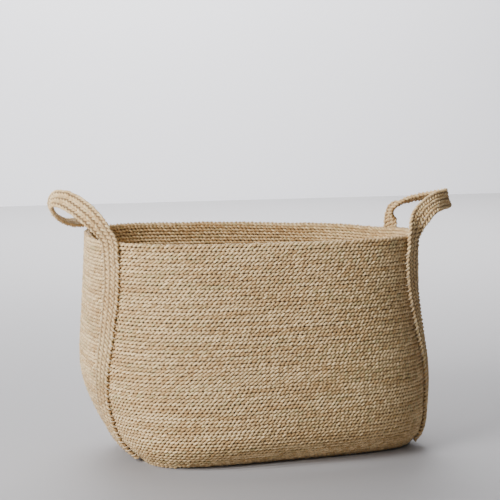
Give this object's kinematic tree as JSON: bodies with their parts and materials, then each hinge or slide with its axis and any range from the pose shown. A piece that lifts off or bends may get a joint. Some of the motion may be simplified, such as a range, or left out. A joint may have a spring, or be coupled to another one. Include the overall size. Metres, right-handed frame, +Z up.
{
  "type": "storage basket",
  "caption": "Soft oval storage basket coiled from plaited jute, with a strap loop handle of sewn plaits standing at each short end.",
  "frame": {"origin": "on the floor under the middle of the basket", "axes": "+X along the long side, from the left handle to the right handle; -Y is the front; +Z up"},
  "size_m": [0.5064, 0.3033, 0.333],
  "materials": {
    "jute_wall": "matte",
    "jute_handle": "matte",
    "jute_thread": "matte"
  },
  "bodies": {
    "basket": {"base_start_row": "jute_wall", "base_coil": "jute_wall", "wall_coil_1": "jute_wall", "wall_coil_2": "jute_wall", "wall_coil_3": "jute_wall", "wall_coil_4": "jute_wall", "wall_coil_5": "jute_wall", "wall_coil_6": "jute_wall", "rim_course": "jute_wall", "left_front_leg_plait_1": "jute_handle", "left_front_leg_plait_2": "jute_handle", "left_front_leg_plait_3": "jute_handle", "left_back_leg_plait_1": "jute_handle", "left_back_leg_plait_2": "jute_handle", "left_back_leg_plait_3": "jute_handle", "right_front_leg_plait_1": "jute_handle", "right_front_leg_plait_2": "jute_handle", "right_front_leg_plait_3": "jute_handle", "right_back_leg_plait_1": "jute_handle", "right_back_leg_plait_2": "jute_handle", "right_back_leg_plait_3": "jute_handle", "left_front_stitches": "jute_thread", "left_back_stitches": "jute_thread", "right_front_stitches": "jute_thread", "right_back_stitches": "jute_thread"},
    "left_handle": {"left_handle_plait_1": "jute_handle", "left_handle_plait_2": "jute_handle", "left_handle_plait_3": "jute_handle"},
    "right_handle": {"right_handle_plait_1": "jute_handle", "right_handle_plait_2": "jute_handle", "right_handle_plait_3": "jute_handle"}
  },
  "joints": [
    {"name": "left_handle_fold", "type": "hinge", "parent": "basket", "child": "left_handle", "pos_m": [-0.19341, 0.00608, 0.28135], "axis": [0.0648, 0.9979, 0.0017], "range_deg": [-12, 50]},
    {"name": "right_handle_fold", "type": "hinge", "parent": "basket", "child": "right_handle", "pos_m": [0.18332, -0.03882, 0.27789], "axis": [0.1858, 0.9818, -0.04], "range_deg": [-75, 35]}
  ]
}
